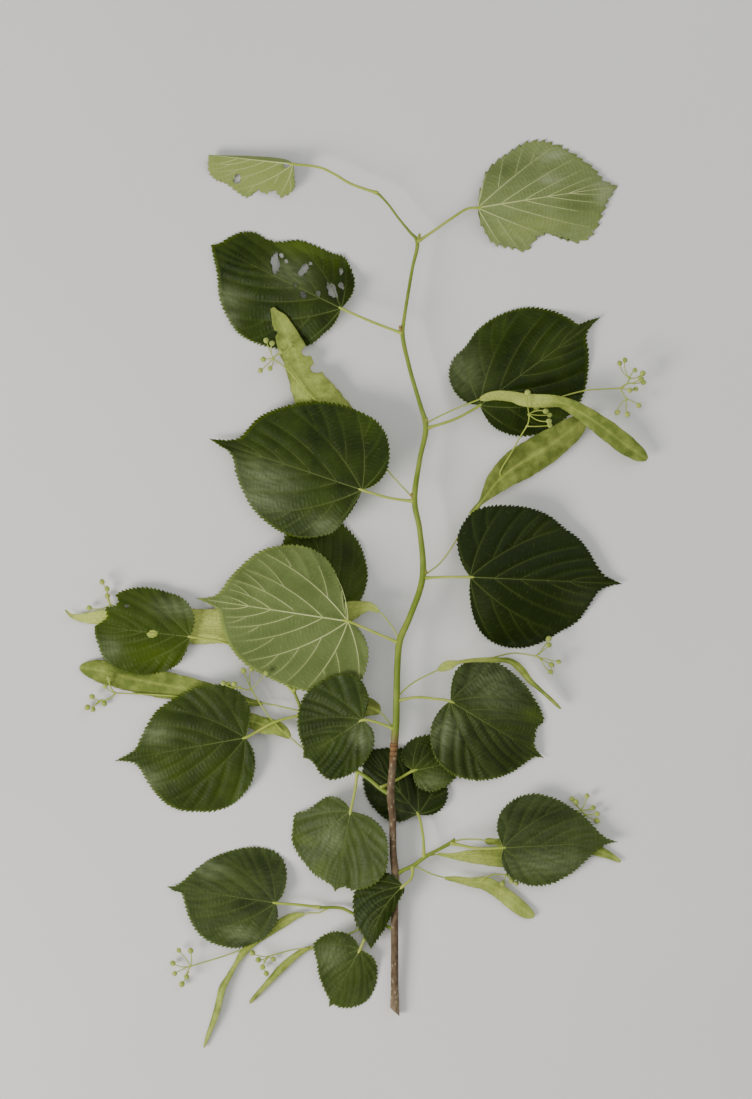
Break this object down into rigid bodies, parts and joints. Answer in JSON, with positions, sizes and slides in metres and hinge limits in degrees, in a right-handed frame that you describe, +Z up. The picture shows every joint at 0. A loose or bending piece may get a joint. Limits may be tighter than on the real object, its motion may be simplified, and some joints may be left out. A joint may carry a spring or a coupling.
{
  "type": "cut linden branch",
  "caption": "Cut linden branch lying flat: woody foot, zigzag green shoot, heart-shaped leaves on long stalks, strap-like bracts with hanging young fruit.",
  "frame": {"origin": "middle of the object's outline seen from above, on the table it lies on", "axes": "+Y along the shoot from its cut end towards its tip, +Z up off the table, +X to the right seen from above"},
  "size_m": [0.3639, 0.5664, 0.0233],
  "materials": {
    "bark": "rough brown young bark with pale lenticels",
    "green_stem": "smooth satin yellow-green young stem",
    "leaf_upper": "dark olive green leaf, soft sheen, paler veins",
    "leaf_underside": "matt grey-green underside with raised pale veins",
    "bract": "thin matt yellow-green bract, fruit and fruit stalks"
  },
  "bodies": {
    "root": {"main_stem_old_wood": "bark", "main_stem_green_shoot": "green_stem", "side_shoot_left": "green_stem", "side_shoot_right": "green_stem", "side_shoot_low": "green_stem", "leaf_top_left": "leaf_underside", "leaf_top_right": "leaf_underside", "leaf_upper_left": "leaf_upper", "leaf_upper_right": "leaf_upper", "leaf_left_broad": "leaf_upper", "leaf_left_hidden": "leaf_upper", "leaf_left_pale": "leaf_underside", "leaf_right_broad": "leaf_upper", "leaf_far_left": "leaf_upper", "leaf_lower_left": "leaf_upper", "leaf_mid_left": "leaf_upper", "leaf_mid_right": "leaf_upper", "leaf_under_stem": "leaf_upper", "leaf_small_right": "leaf_upper", "leaf_low_left": "leaf_upper", "leaf_low_right": "leaf_upper", "leaf_bottom_left": "leaf_upper", "leaf_folded": "leaf_upper", "leaf_bottom": "leaf_upper", "bract_upper_left": "bract", "bract_upper_right": "bract", "bract_right_broad": "bract", "bract_left_tucked": "bract", "bract_far_left": "bract", "bract_outer_left": "bract", "bract_lower_left": "bract", "bract_crumpled": "bract", "bract_mid_right": "bract", "bract_low_right_narrow": "bract", "bract_low_right_cream": "bract", "bract_low_right_broad": "bract", "bract_bottom_long": "bract", "bract_bottom_short": "bract"}
  },
  "joints": []
}
